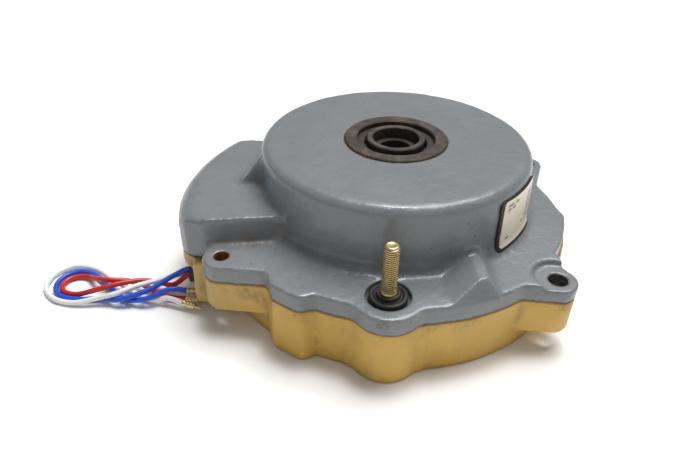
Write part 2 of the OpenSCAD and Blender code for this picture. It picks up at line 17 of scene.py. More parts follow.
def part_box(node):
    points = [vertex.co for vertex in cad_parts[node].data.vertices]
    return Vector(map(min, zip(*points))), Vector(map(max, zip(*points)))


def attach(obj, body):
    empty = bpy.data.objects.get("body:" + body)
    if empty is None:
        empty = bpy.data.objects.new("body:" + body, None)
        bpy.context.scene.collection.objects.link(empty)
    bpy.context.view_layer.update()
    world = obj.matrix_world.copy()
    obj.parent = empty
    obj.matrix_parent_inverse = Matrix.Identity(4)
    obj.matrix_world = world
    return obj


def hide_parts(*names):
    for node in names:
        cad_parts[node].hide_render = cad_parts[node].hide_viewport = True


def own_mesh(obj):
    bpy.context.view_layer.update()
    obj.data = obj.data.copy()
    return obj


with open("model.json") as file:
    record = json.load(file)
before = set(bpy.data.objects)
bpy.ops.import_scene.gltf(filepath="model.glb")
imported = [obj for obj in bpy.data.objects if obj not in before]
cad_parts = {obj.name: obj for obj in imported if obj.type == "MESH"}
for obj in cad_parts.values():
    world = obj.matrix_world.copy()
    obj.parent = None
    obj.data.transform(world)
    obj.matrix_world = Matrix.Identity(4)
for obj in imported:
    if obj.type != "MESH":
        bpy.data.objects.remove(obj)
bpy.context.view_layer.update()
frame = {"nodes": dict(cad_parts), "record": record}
nodes = frame["nodes"]

MM = 0.001
HOUSING = "housing"


# ---- camera, light and floor ----

CAMERA_AT = Vector((0.0, -333.05, 241.93)) * MM
CAMERA_LOOK = Vector((-0.0858, 0.8264, -0.5565))
CAMERA_ROLL = math.radians(0.854)
LENS = 32.13

SKY_LIGHT, SKY_SHOWN = 0.25, 1.0
SUN_POWER, SUN_SPREAD = 2.55, math.radians(38)
SUN_DIRECTION = Vector((-0.22, -0.36, -1.0))
FLOOR_SIZE, FLOOR_Z = 8, -0.2 * MM


def make_camera():
    """Camera at the photograph's place, with its roll."""
    data = bpy.data.cameras.new("camera")
    data.lens = LENS
    data.sensor_width = 36.0
    data.clip_start, data.clip_end = 0.01, 20.0
    camera = bpy.data.objects.new("camera", data)
    camera.location = CAMERA_AT
    camera.rotation_mode = "QUATERNION"
    turn = CAMERA_LOOK.to_track_quat("-Z", "Y")
    camera.rotation_quaternion = turn @ Quaternion((0, 0, 1), CAMERA_ROLL)
    bpy.context.scene.collection.objects.link(camera)
    bpy.context.scene.camera = camera


def area_light(name, place, target, size, power, colour=(1, 1, 1)):
    """Square soft box at place, aimed at target."""
    data = bpy.data.lights.new(name, "AREA")
    data.size = size
    data.energy = power
    data.color = colour
    light = bpy.data.objects.new(name, data)
    light.location = place
    light.rotation_mode = "QUATERNION"
    light.rotation_quaternion = (Vector(target) - Vector(place)).to_track_quat("-Z", "Y")
    bpy.context.scene.collection.objects.link(light)


def make_studio():
    """Soft sun from behind on the right, a compact overhead box for the glints, pale floor.

    The surround lights the scene with SKY_LIGHT but shows as plain white.
    """
    world = bpy.data.worlds.new("surround")
    world.use_nodes = True
    back = world.node_tree.nodes["Background"]
    back.inputs["Color"].default_value = (1.0, 1.0, 1.0, 1)
    path = world.node_tree.nodes.new("ShaderNodeLightPath")
    level = world.node_tree.nodes.new("ShaderNodeMapRange")
    level.inputs["To Min"].default_value = SKY_LIGHT
    level.inputs["To Max"].default_value = SKY_SHOWN
    world.node_tree.links.new(path.outputs["Is Camera Ray"], level.inputs["Value"])
    world.node_tree.links.new(level.outputs["Result"], back.inputs["Strength"])
    bpy.context.scene.world = world
    bpy.context.scene.view_settings.view_transform = "Standard"
    data = bpy.data.lights.new("window", "SUN")
    data.energy = SUN_POWER
    data.angle = SUN_SPREAD
    window = bpy.data.objects.new("window", data)
    window.rotation_mode = "QUATERNION"
    window.rotation_quaternion = SUN_DIRECTION.to_track_quat("-Z", "Y")
    bpy.context.scene.collection.objects.link(window)
    area_light("overhead", (0.05, 0.12, 1.15), (0, 0, 0.05), 0.2, 3.6)
    area_light("front_box", (-0.35, -0.75, 0.75), (0, -0.05, 0.04), 0.3, 0.25, (1.0, 0.97, 0.92))
    bpy.ops.mesh.primitive_plane_add(size=FLOOR_SIZE, location=(0, 0, FLOOR_Z))
    floor = bpy.context.object
    floor.name = "floor"
    floor.data.materials.append(floor_paper())


# ---- shader building ----


class Shader:
    """A node-based material; each method adds a node and returns its main output."""

    def __init__(self, name, roughness=0.5, metallic=0.0, **constants):
        self.material = bpy.data.materials.new(name)
        self.material.use_nodes = True
        self.tree = self.material.node_tree
        self.surface = self.tree.nodes["Principled BSDF"]
        self.set("Roughness", roughness)
        self.set("Metallic", metallic)
        for key, value in constants.items():
            self.set(key.replace("_", " ").title(), value)
        self.place = self.node("TexCoord").outputs["Object"]

    def set(self, socket, value):
        """A constant goes on the socket, anything else is linked to it."""
        target = self.surface.inputs[socket]
        if isinstance(value, bpy.types.NodeSocket):
            self.tree.links.new(value, target)
        elif target.type == "RGBA":
            target.default_value = (*value, 1)
        else:
            target.default_value = value

    def node(self, kind):
        """A new shader node, by its type without the ShaderNode in front."""
        return self.tree.nodes.new("ShaderNode" + kind)

    def fill(self, node, values):
        """Sets or links the inputs of a node, by index or by name."""
        for key, value in values.items():
            if isinstance(value, bpy.types.NodeSocket):
                self.tree.links.new(value, node.inputs[key])
            elif hasattr(value, "__len__") and len(value) == 3 and node.inputs[key].type == "RGBA":
                node.inputs[key].default_value = (*value, 1)
            else:
                node.inputs[key].default_value = value
        return node

    def math(self, operation, a, b=0.0):
        """Result of a math node, such as MULTIPLY."""
        node = self.fill(self.node("Math"), {0: a, 1: b})
        node.operation = operation
        return node.outputs[0]

    def noise(self, size, detail=4.0, rough=0.55, stretch=(1, 1, 1), warp=0.0):
        """Noise whose lumps are about size metres across, from 0 to 1."""
        mapped = self.fill(self.node("Mapping"), {"Vector": self.place, "Scale": stretch})
        node = self.node("TexNoise")
        self.fill(node, {"Vector": mapped.outputs[0], "Scale": 1 / size, "Detail": detail})
        self.fill(node, {"Roughness": rough, "Distortion": warp})
        return node.outputs["Fac"]

    def cells(self, size):
        """Distance to the nearest of points scattered about size metres apart."""
        node = self.node("TexVoronoi")
        self.fill(node, {"Vector": self.place, "Scale": 1 / size})
        return node.outputs["Distance"]

    def step(self, value, low, high):
        """0 below low, 1 above high, smooth between."""
        node = self.node("MapRange")
        node.interpolation_type = "SMOOTHSTEP"
        self.fill(node, {"Value": value, "From Min": low, "From Max": high})
        return node.outputs["Result"]

    def attribute(self, name):
        """Value that store() keeps on the mesh under this name."""
        node = self.node("Attribute")
        node.attribute_name = name
        return node.outputs["Fac"]

    def mix(self, share, a, b):
        """Colour from a to b as share goes from 0 to 1."""
        node = self.node("Mix")
        node.data_type = "RGBA"
        self.fill(node, {"Factor": share, 6: a, 7: b})
        return node.outputs[2]

    def lift(self, share, low, high):
        """Value from low to high as share goes from 0 to 1."""
        node = self.node("MapRange")
        self.fill(node, {"Value": share, "To Min": low, "To Max": high})
        return node.outputs["Result"]

    def bump(self, height, depth, below=None):
        """Bump of a height from 0 to 1, depth metres deep, on top of an earlier bump."""
        node = self.fill(self.node("Bump"), {"Height": height, "Distance": depth, "Strength": 1.0})
        if below is not None:
            self.tree.links.new(below, node.inputs["Normal"])
        return node.outputs[0]

    def radius(self):
        """Distance from the shaft axis."""
        parts = self.fill(self.node("SeparateXYZ"), {0: self.place})
        x2 = self.math("POWER", parts.outputs[0], 2.0)
        y2 = self.math("POWER", parts.outputs[1], 2.0)
        return self.math("SQRT", self.math("ADD", x2, y2))


def floor_paper():
    """Plain white paper with a barely visible grain."""
    s = Shader("floor_paper", roughness=0.85)
    s.set("Base Color", s.mix(s.noise(0.5, 2), (0.93, 0.93, 0.93), (0.97, 0.97, 0.965)))
    s.set("Normal", s.bump(s.noise(0.002, 2), 0.00002))
    return s.material


def grey_enamel():
    """Blue-grey enamel over a cast skin: grime and painted shade in the inner corners, rubbed
    edges, rust spots, pits.
    """
    s = Shader("grey_enamel", coat_weight=0.35, coat_roughness=0.14)
    broad = s.noise(0.05, 5, 0.6)
    fine = s.noise(0.0035, 6, 0.65)
    colour = s.mix(s.step(broad, 0.35, 0.68), (0.172, 0.186, 0.200), (0.200, 0.210, 0.218))
    colour = s.mix(s.math("MULTIPLY", s.step(fine, 0.52, 0.78), 0.3), colour, (0.112, 0.121, 0.13))
    # grime and painted shade: patchy brown darkening where the flow filled the inner corners
    grime_and_shade = s.math("MULTIPLY", s.attribute("crevice"), s.step(s.noise(0.012, 6, 0.7), 0.38, 0.66))
    colour = s.mix(s.math("MULTIPLY", grime_and_shade, 0.45), colour, (0.095, 0.085, 0.07))
    edge = s.math("MULTIPLY", s.attribute("edge"), s.step(s.noise(0.006, 5, 0.7), 0.5, 0.66))
    colour = s.mix(s.math("MULTIPLY", edge, 0.4), colour, (0.36, 0.37, 0.38))
    rust = s.step(s.noise(0.022, 7, 0.72, warp=0.4), 0.73, 0.78)
    ragged = s.step(s.noise(0.004, 5, 0.7), 0.36, 0.6)
    rust = s.math("MAXIMUM", rust, s.math("MULTIPLY", s.attribute("rust"), ragged))
    colour = s.mix(s.math("MULTIPLY", rust, 0.6), colour, (0.19, 0.125, 0.065))
    # dark marks, the dark joint line, and painted shade in two dents and inside the ear and stud
    # holes
    dark_marks_and_shade = s.math("MULTIPLY", s.attribute("dark_marks_and_shade"), ragged)
    colour = s.mix(s.math("MULTIPLY", dark_marks_and_shade, 0.85), colour, (0.035, 0.032, 0.03))
    specks = s.math("SUBTRACT", 1.0, s.step(s.cells(0.009), 0.035, 0.08))
    specks = s.math("MULTIPLY", specks, s.step(s.noise(0.03, 3), 0.43, 0.54))
    colour = s.mix(s.math("MULTIPLY", specks, 0.75), colour, (0.06, 0.055, 0.05))
    metal = s.mix(s.noise(0.004, 4), (0.20, 0.115, 0.045), (0.50, 0.33, 0.13))
    s.set("Base Color", s.mix(s.attribute("bare"), colour, metal))
    s.set("Metallic", s.math("MULTIPLY", s.attribute("bare"), 0.7))
    s.set("Roughness", s.lift(s.noise(0.016, 5), 0.27, 0.46))
    skin = s.bump(s.noise(0.007, 3, 0.5), 0.00045)
    skin = s.bump(s.noise(0.0019, 4, 0.6), 0.00026, skin)
    s.set("Normal", s.bump(specks, -0.0002, skin))
    return s.material


def ochre_casting():
    """Ochre lower casting: lacquer, painted shade darker and browner on the left, brown stains by
    the joint, grime and painted shade in the corners, scuffs.
    """
    s = Shader("ochre_casting", coat_weight=0.1, coat_roughness=0.3)
    s.set("Subsurface Weight", 0.12)
    s.set("Subsurface Radius", (0.004, 0.0025, 0.0008))
    s.set("Subsurface Scale", 0.6)
    broad = s.noise(0.06, 5, 0.6)
    colour = s.mix(s.step(broad, 0.32, 0.7), (0.60, 0.36, 0.057), (0.70, 0.436, 0.087))
    streak = s.noise(0.02, 5, 0.6, stretch=(1, 1, 0.25))
    colour = s.mix(s.math("MULTIPLY", s.step(streak, 0.5, 0.75), 0.5), colour, (0.34, 0.22, 0.07))
    parts = s.fill(s.node("SeparateXYZ"), {0: s.place})
    # painted shade: the left side, which faces away from the light, darker and browner
    left = s.step(s.math("MULTIPLY", parts.outputs[0], -1.0), 0.045, 0.11)
    colour = s.mix(s.math("MULTIPLY", left, 0.4), colour, (0.34, 0.24, 0.115))
    near_joint = s.step(parts.outputs[2], 0.022, 0.034)
    stain = s.math("MULTIPLY", near_joint, s.step(s.noise(0.014, 7, 0.7, warp=0.5), 0.5, 0.66))
    colour = s.mix(s.math("MULTIPLY", stain, 0.55), colour, (0.17, 0.10, 0.035))
    # grime and painted shade: patchy brown darkening in the filled inner corners
    grime_and_shade = s.math("MULTIPLY", s.attribute("crevice"), s.step(s.noise(0.01, 6, 0.7), 0.36, 0.62))
    colour = s.mix(s.math("MULTIPLY", grime_and_shade, 0.5), colour, (0.20, 0.125, 0.04))
    worn = s.math("MULTIPLY", s.attribute("edge"), s.step(s.noise(0.005, 5, 0.7), 0.48, 0.64))
    colour = s.mix(s.math("MULTIPLY", worn, 0.5), colour, (0.74, 0.58, 0.27))
    ragged = s.step(s.noise(0.005, 5, 0.7), 0.34, 0.6)
    rust = s.math("MULTIPLY", s.attribute("rust"), ragged)
    colour = s.mix(s.math("MULTIPLY", rust, 0.75), colour, (0.20, 0.125, 0.05))
    # dark marks, the dark joint line, and painted shade inside the ear holes
    dark_marks_and_shade = s.math("MULTIPLY", s.attribute("dark_marks_and_shade"), s.lift(ragged, 0.4, 1.0))
    colour = s.mix(s.math("MULTIPLY", dark_marks_and_shade, 0.7), colour, (0.09, 0.055, 0.02))
    scuff = s.step(s.noise(0.004, 3, 0.5, stretch=(0.4, 0.4, 3.0)), 0.68, 0.74)
    colour = s.mix(s.math("MULTIPLY", scuff, 0.35), colour, (0.68, 0.52, 0.25))
    s.set("Base Color", colour)
    s.set("Roughness", s.lift(s.noise(0.012, 5), 0.36, 0.6))
    skin = s.bump(s.noise(0.009, 4, 0.55), 0.00035)
    s.set("Normal", s.bump(s.noise(0.0014, 3, 0.6), 0.00007, skin))
    return s.material


LATHE_PITCH, OXIDE_LATHE_PITCH, WINDING_PITCH = 0.0005, 0.0006, 0.0005


def dark_oxide():
    """Black oxide on turned steel, brown where it has worn, with lathe rings."""
    s = Shader("dark_oxide", metallic=0.55)
    tint = s.step(s.noise(0.009, 6, 0.65), 0.38, 0.68)
    colour = s.mix(tint, (0.055, 0.048, 0.043), (0.125, 0.095, 0.075))
    dust = s.step(s.noise(0.0022, 5, 0.7), 0.62, 0.74)
    colour = s.mix(s.math("MULTIPLY", dust, 0.35), colour, (0.24, 0.19, 0.15))
    s.set("Base Color", colour)
    s.set("Roughness", s.lift(s.noise(0.004, 4), 0.42, 0.66))
    rings = s.math("SINE", s.math("MULTIPLY", s.radius(), 2 * math.pi / OXIDE_LATHE_PITCH))
    s.set("Normal", s.bump(rings, 0.00001, s.bump(s.noise(0.0012, 4), 0.00005)))
    return s.material


def turned_steel(name, colour, rust=0.25, roughness=(0.26, 0.42)):
    """Bare turned steel with lathe rings and a little rust."""
    s = Shader(name, metallic=1.0)
    dull = tuple(c * 0.72 for c in colour)
    base = s.mix(s.step(s.noise(0.012, 5), 0.35, 0.7), colour, dull)
    spots = s.step(s.noise(0.006, 7, 0.72, warp=0.5), 0.66, 0.76)
    s.set("Base Color", s.mix(s.math("MULTIPLY", spots, rust), base, (0.24, 0.12, 0.05)))
    s.set("Roughness", s.lift(s.noise(0.005, 4), *roughness))
    rings = s.math("SINE", s.math("MULTIPLY", s.radius(), 2 * math.pi / LATHE_PITCH))
    s.set("Normal", s.bump(rings, 0.000006, s.bump(s.noise(0.001, 3), 0.00001)))
    return s.material


def plated(name, bright, dark, roughness=(0.2, 0.38)):
    """Zinc or brass surface with a blotchy tarnish, and painted shade in the thread valleys."""
    s = Shader(name, metallic=1.0)
    tarnish = s.step(s.noise(0.0035, 6, 0.65), 0.4, 0.7)
    colour = s.mix(s.math("MULTIPLY", tarnish, 0.6), bright, dark)
    # painted shade: the thread valleys darkened by their depth
    painted_thread_shade = s.math("MULTIPLY", s.attribute("crevice"), 0.9)
    s.set("Base Color", s.mix(painted_thread_shade, colour, (0.10, 0.062, 0.022)))
    s.set("Roughness", s.lift(s.noise(0.002, 4), *roughness))
    s.set("Normal", s.bump(s.noise(0.0006, 3), 0.000012))
    return s.material


def moulded(name, colour, dirt, roughness=(0.42, 0.62), grain=0.0008, depth=0.00003):
    """Moulded rubber or plastic with dust in its grain."""
    s = Shader(name)
    film = s.step(s.noise(0.008, 6, 0.68), 0.5, 0.76)
    s.set("Base Color", s.mix(s.math("MULTIPLY", film, 0.55), colour, dirt))
    s.set("Roughness", s.lift(s.noise(0.004, 4), *roughness))
    s.set("Normal", s.bump(s.noise(grain, 4, 0.6), depth))
    return s.material


def wound_copper():
    """Enamelled winding: wire turns show as a fine ripple along the height."""
    s = Shader("wound_copper", metallic=0.85, coat_weight=0.5, coat_roughness=0.15)
    s.set("Base Color", s.mix(s.noise(0.006, 5), (0.55, 0.22, 0.09), (0.72, 0.34, 0.15)))
    s.set("Roughness", s.lift(s.noise(0.004, 3), 0.25, 0.4))
    parts = s.fill(s.node("SeparateXYZ"), {0: s.place})
    turns = s.math("SINE", s.math("MULTIPLY", parts.outputs[2], 2 * math.pi / WINDING_PITCH))
    s.set("Normal", s.bump(turns, 0.0001))
    return s.material


# print on the label: heights in metres, angles round the shaft in radians
LABEL_FIELD = (0.0600, 0.0735, -0.43, -0.335)
LABEL_ROWS = (  # foot of the row, dashes per radian, left end, right end
    (0.0732, 70.0, -0.74, -0.56),
    (0.0708, 95.0, -0.74, -0.60),
    (0.0575, 110.0, -0.47, -0.33),
    (0.0552, 130.0, -0.50, -0.33),
    (0.0530, 120.0, -0.47, -0.36),
    (0.0560, 80.0, -0.73, -0.69),
    (0.0520, 90.0, -0.70, -0.62),
)
ROW_HEIGHT = 0.0014


def label_face():
    """Cream printed foil: plain grey field and rows of dashes that hold no letters."""
    s = Shader("label_face", coat_weight=0.25, coat_roughness=0.3)
    parts = s.fill(s.node("SeparateXYZ"), {0: s.place})
    angle = s.math("ARCTAN2", parts.outputs[1], parts.outputs[0])
    height = parts.outputs[2]
    colour = s.mix(s.step(s.noise(0.012, 5), 0.4, 0.7), (0.93, 0.84, 0.67), (0.85, 0.75, 0.57))

    def band(value, low, high, soft):
        """1 between low and high, 0 outside, over an edge of twice soft."""
        up = s.step(value, low - soft, low + soft)
        down = s.step(value, high - soft, high + soft)
        return s.math("MULTIPLY", up, s.math("SUBTRACT", 1.0, down))

    foot, top, left, right = LABEL_FIELD
    panel = s.math("MULTIPLY", band(height, foot, top, 0.0002), band(angle, left, right, 0.003))
    colour = s.mix(s.math("MULTIPLY", panel, 0.8), colour, (0.30, 0.27, 0.24))
    for low, dash, left, right in LABEL_ROWS:
        wave = s.math("SINE", s.math("MULTIPLY", angle, dash))
        wave = s.math("ADD", wave, s.math("SINE", s.math("MULTIPLY", angle, dash * 0.37)))
        row = band(height, low, low + ROW_HEIGHT, 0.0001)
        dashes = s.math("MULTIPLY", s.step(wave, 0.0, 0.25), row)
        dashes = s.math("MULTIPLY", dashes, band(angle, left, right, 0.004))
        colour = s.mix(s.math("MULTIPLY", dashes, 0.8), colour, (0.07, 0.065, 0.06))
    s.set("Base Color", colour)
    s.set("Roughness", s.lift(s.noise(0.006, 4), 0.34, 0.5))
    s.set("Normal", s.bump(s.noise(0.004, 4), 0.00005))
    return s.material


def make_materials():
    """One material for each slot of the record."""
    return {
        "grey_paint": grey_enamel(),
        "ochre_casting": ochre_casting(),
        "black_oxide": dark_oxide(),
        "seal_rubber": moulded("seal_rubber", (0.018, 0.017, 0.016), (0.075, 0.062, 0.05)),
        "bearing_steel": turned_steel("bearing_steel", (0.66, 0.67, 0.69), 0.1, (0.1, 0.2)),
        "cage_brass": plated("cage_brass", (0.70, 0.48, 0.18), (0.42, 0.28, 0.11)),
        "turned_steel": turned_steel("turned_steel", (0.52, 0.52, 0.53)),
        "lining": moulded(
            "lining", (0.12, 0.075, 0.045), (0.22, 0.16, 0.11), (0.7, 0.9), 0.0006, 0.00012
        ),
        "bobbin_plastic": moulded("bobbin_plastic", (0.62, 0.58, 0.46), (0.42, 0.36, 0.26)),
        "copper_wire": wound_copper(),
        "potting": moulded(
            "potting", (0.05, 0.035, 0.028), (0.10, 0.08, 0.06), (0.3, 0.5), 0.004, 0.00015
        ),
        "fastener_steel": turned_steel("fastener_steel", (0.17, 0.17, 0.18), 0.3, (0.38, 0.58)),
        "yellow_zinc": plated("yellow_zinc", (0.80, 0.66, 0.33), (0.60, 0.44, 0.17)),
        "bush_bronze": plated("bush_bronze", (0.62, 0.40, 0.17), (0.40, 0.25, 0.10), (0.35, 0.5)),
        "spring_steel": turned_steel("spring_steel", (0.50, 0.52, 0.55), 0.15),
        "terminal_plastic": moulded("terminal_plastic", (0.03, 0.03, 0.032), (0.10, 0.09, 0.08)),
        "label_foil": label_face(),
        "label_black": moulded("label_black", (0.012, 0.011, 0.01), (0.06, 0.05, 0.045)),
        "pvc_blue": moulded("pvc_blue", (0.012, 0.085, 0.62), (0.03, 0.06, 0.24), (0.26, 0.4)),
        "pvc_red": moulded("pvc_red", (0.55, 0.022, 0.018), (0.28, 0.03, 0.025), (0.26, 0.4)),
        "pvc_white": moulded("pvc_white", (0.82, 0.82, 0.84), (0.55, 0.50, 0.44), (0.26, 0.4)),
    }


# ---- mesh building ----


def new_piece(name, mesh, slot, node, body=HOUSING):
    """Links a mesh or curve as a piece that stands for a CAD node and rides on its body."""
    piece = bpy.data.objects.new(name, mesh)
    bpy.context.scene.collection.objects.link(piece)
    if isinstance(mesh, bpy.types.Mesh):
        mesh.polygons.foreach_set("use_smooth", [True] * len(mesh.polygons))
    mesh.materials.append(materials[slot])
    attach(piece, body)
    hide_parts(node)
    return piece


def to_mesh(body, name):
    """Mesh of a bmesh, which is freed."""
    mesh = bpy.data.meshes.new(name)
    body.to_mesh(mesh)
    body.free()
    return mesh


def join_rings(body, rings, turns):
    """Faces between rings of turns points each; a ring of one point is the tip of a cone."""
    for a, b in zip(rings, rings[1:]):
        for k in range(turns):
            n = (k + 1) % turns
            if len(a) == 1:
                body.faces.new((a[0], b[n], b[k]))
            elif len(b) == 1:
                body.faces.new((a[k], a[n], b[0]))
            else:
                body.faces.new((a[k], a[n], b[n], b[k]))


def lathe(name, profile, turns=96):
    """Closed mesh of a profile of (radius, height) points turned round Z.

    A profile starts and ends on the axis, or ends where it starts.
    """
    body = bmesh.new()
    step = 2 * math.pi / turns
    rings = []
    for r, z in profile:
        if r == 0:
            rings.append([body.verts.new((0, 0, z))])
            continue
        ring = [(r * math.cos(k * step), r * math.sin(k * step), z) for k in range(turns)]
        rings.append([body.verts.new(point) for point in ring])
    join_rings(body, rings, turns)
    bmesh.ops.recalc_face_normals(body, faces=body.faces)
    return to_mesh(body, name)


def arc(centre, radius, start, end, steps=8):
    """Points of an arc, angles in degrees, in the plane of a profile."""
    angles = [math.radians(start + (end - start) * k / steps) for k in range(steps + 1)]
    return [(centre[0] + radius * math.cos(a), centre[1] + radius * math.sin(a)) for a in angles]


# ---- castings ----

VOXEL = 1.0 * MM
JOINT_Z = 34 * MM
SNAP_SHARE = 0.6  # of a voxel: points this near the joint or base plane belong to it
ROUNDS, STEP_SHARE, NORMALS_EVERY = 26, 0.9, 4
COARSE_SIZE, COARSE_DEPTH = 17 * MM, 0.2 * MM
FINE_SIZE, FINE_DEPTH = 4.5 * MM, 0.09 * MM
FILLED_FULL, WORN_FULL = 0.6 * MM, 0.3 * MM
CREVICE_SPREAD = 6
SEAM_REACH, SEAM_SOOT = 1.1 * MM, 0.9


def remeshed(node, voxel):
    """Even quad mesh of a CAD node, from a voxel remesh of a copy."""
    mesh = node.data.copy()
    body = bmesh.new()
    body.from_mesh(mesh)
    bmesh.ops.remove_doubles(body, verts=body.verts, dist=1e-6)
    body.to_mesh(mesh)
    body.free()
    scratch = bpy.data.objects.new("scratch", mesh)
    bpy.context.scene.collection.objects.link(scratch)
    remesh = scratch.modifiers.new("remesh", "REMESH")
    remesh.mode = "VOXEL"
    remesh.voxel_size = voxel
    shown = scratch.evaluated_get(bpy.context.evaluated_depsgraph_get())
    out = bpy.data.meshes.new_from_object(shown)
    bpy.data.objects.remove(scratch)
    out.materials.clear()
    return out


def read_points(mesh):
    """Coordinates of a mesh's vertices, one row each."""
    flat = np.zeros(len(mesh.vertices) * 3, np.float32)
    mesh.vertices.foreach_get("co", flat)
    return flat.reshape(-1, 3).astype(float)


class Neighbours:
    """Mean of each vertex's neighbours, and vertex normals, for a mesh of fixed topology."""

    def __init__(self, mesh):
        edges = np.zeros(len(mesh.edges) * 2, np.int64)
        mesh.edges.foreach_get("vertices", edges)
        pairs = edges.reshape(-1, 2)
        self.a = np.concatenate([pairs[:, 0], pairs[:, 1]])
        self.b = np.concatenate([pairs[:, 1], pairs[:, 0]])
        self.count = len(mesh.vertices)
        self.valence = np.maximum(np.bincount(self.a, minlength=self.count), 1)
        mesh.calc_loop_triangles()
        corners = np.zeros(len(mesh.loop_triangles) * 3, np.int64)
        mesh.loop_triangles.foreach_get("vertices", corners)
        self.tris = corners.reshape(-1, 3)

    def mean(self, values):
        """Mean of each vertex's neighbours, for values of one row a vertex."""
        sums = [np.bincount(self.a, values[self.b, k], self.count) for k in range(values.shape[1])]
        return np.stack(sums, 1) / self.valence[:, None]

    def normals(self, points):
        """Unit normals of the vertices, weighted by the area of the triangles round them."""
        t = self.tris
        cross = np.cross(points[t[:, 1]] - points[t[:, 0]], points[t[:, 2]] - points[t[:, 0]])
        sums = np.zeros_like(points)
        for corner in range(3):
            for k in range(3):
                sums[:, k] += np.bincount(t[:, corner], cross[:, k], self.count)
        return sums / np.maximum(np.linalg.norm(sums, axis=1), 1e-12)[:, None]


def flow(points, near, free, convex):
    """Rounds corners: inner corners fill at full speed, outer ones at the share convex."""
    for k in range(ROUNDS):
        if k % NORMALS_EVERY == 0:
            normal = near.normals(points)
        move = near.mean(points) - points
        outward = (move * normal).sum(1)
        share = np.where(outward > 0, 1.0, convex) * free
        points = points + move * share[:, None] * STEP_SHARE
    return points


def hole_distance(points, hole):
    """Distance from a hole's wall, and which points are in its height; (x, y, r, low, high) mm."""
    x, y, radius, low, high = (v * MM for v in hole)
    away = np.hypot(points[:, 0] - x, points[:, 1] - y) - radius
    inside = (points[:, 2] > low) & (points[:, 2] < high)
    return away, inside


def machined(points, holes, flats):
    """Freedom to be rounded: 0 on machined holes and faces, 1 a little away from them."""
    free = np.ones(len(points))
    for hole in holes:
        away, inside = hole_distance(points, hole)
        free = np.where(inside, np.minimum(free, np.clip(away / (1.6 * MM) - 0.25, 0, 1)), free)
    for x, y, radius, z in flats:
        flat = np.hypot(points[:, 0] - x * MM, points[:, 1] - y * MM) < radius * MM
        flat &= np.abs(points[:, 2] - z * MM) < 1.2 * MM
        free = np.where(flat, 0.0, free)
    return free


def snap_holes(points, holes):
    """Puts the walls of machined holes exactly on their radius; 1 for the points on them."""
    wall = np.zeros(len(points))
    for hole in holes:
        away, inside = hole_distance(points, hole)
        near = inside & (np.abs(away) < 0.75 * VOXEL)
        centre = np.array(hole[:2]) * MM
        out = points[near, :2] - centre
        out /= np.linalg.norm(out, axis=1)[:, None]
        points[near, :2] = centre + out * hole[2] * MM
        wall[near] = 1.0
    return wall


def skin_noise(points, size):
    """Smooth noise from -1 to 1 with lumps about size metres across."""
    return np.array([noise.noise(Vector(p) / size) for p in points])


def store(mesh, name, values):
    """Keeps one value a vertex for Shader.attribute."""
    layer = mesh.attributes.new(name, "FLOAT", "POINT")
    layer.data.foreach_set("value", values.astype(np.float32))


def marked(points, spots):
    """Soft spots at given places, each (x, y, z, radius) in mm."""
    value = np.zeros(len(points))
    for x, y, z, radius in spots:
        away = np.linalg.norm(points - np.array((x, y, z)) * MM, axis=1) / (radius * MM)
        value = np.maximum(value, np.clip(1.6 - 1.6 * away, 0, 1))
    return value


def pressed_in(points, normal, dents):
    """Shallow dents at given places, each (x, y, z, radius, depth) in mm."""
    for x, y, z, radius, depth in dents:
        away = np.linalg.norm(points - np.array((x, y, z)) * MM, axis=1) / (radius * MM)
        points = points - normal * (np.clip(1 - away**2, 0, 1) ** 2 * depth * MM)[:, None]
    return points


def casting(name, node, slot, holes, flats, convex, marks):
    """Cast copy of a CAD node: soft corners, a wavy skin, crisp machined holes and joint face."""
    mesh = remeshed(nodes[node], VOXEL)
    points = read_points(mesh)
    near = Neighbours(mesh)
    wall = snap_holes(points, holes)
    free = machined(points, holes, flats)
    start = points.copy()
    joint = np.abs(points[:, 2] - JOINT_Z) < SNAP_SHARE * VOXEL
    base = points[:, 2] < SNAP_SHARE * VOXEL
    points = flow(points, near, free, convex)
    points[joint, 2], points[base, 2] = JOINT_Z, 0.0
    normal = near.normals(points)
    grown = ((points - start) * normal).sum(1)
    skin = skin_noise(points, COARSE_SIZE) * COARSE_DEPTH
    skin = skin + skin_noise(points, FINE_SIZE) * FINE_DEPTH
    skin[joint | base] = 0.0
    points = points + normal * (skin * free)[:, None]
    points = pressed_in(points, normal, marks["dents"])
    mesh.vertices.foreach_set("co", points.astype(np.float32).ravel())
    # crevice: how far the flow filled each inner corner; the materials paint grime and painted
    # shade there
    crevice = np.clip(grown / FILLED_FULL, 0, 1)
    edge = np.clip(-grown / WORN_FULL, 0, 1)
    for k in range(CREVICE_SPREAD):
        crevice = np.maximum(crevice, near.mean(crevice[:, None])[:, 0])
    store(mesh, "crevice", crevice)
    store(mesh, "edge", edge * (1 - wall))
    store(mesh, "rust", marked(points, marks["rust"]))
    # dark marks and the dark joint line, plus painted shade on the walls of the holes in the dark
    # list
    dark_marks_and_shade = np.maximum(marked(points, marks["dark_marks_and_shade"]), wall * marked(points, marks["dark"]))
    seam = np.clip(1 - np.abs(points[:, 2] - JOINT_Z) / SEAM_REACH, 0, 1) * SEAM_SOOT
    store(mesh, "dark_marks_and_shade", np.maximum(dark_marks_and_shade, seam))
    store(mesh, "bare", wall * marked(points, marks["bare"]))
    new_piece(name, mesh, slot, node)


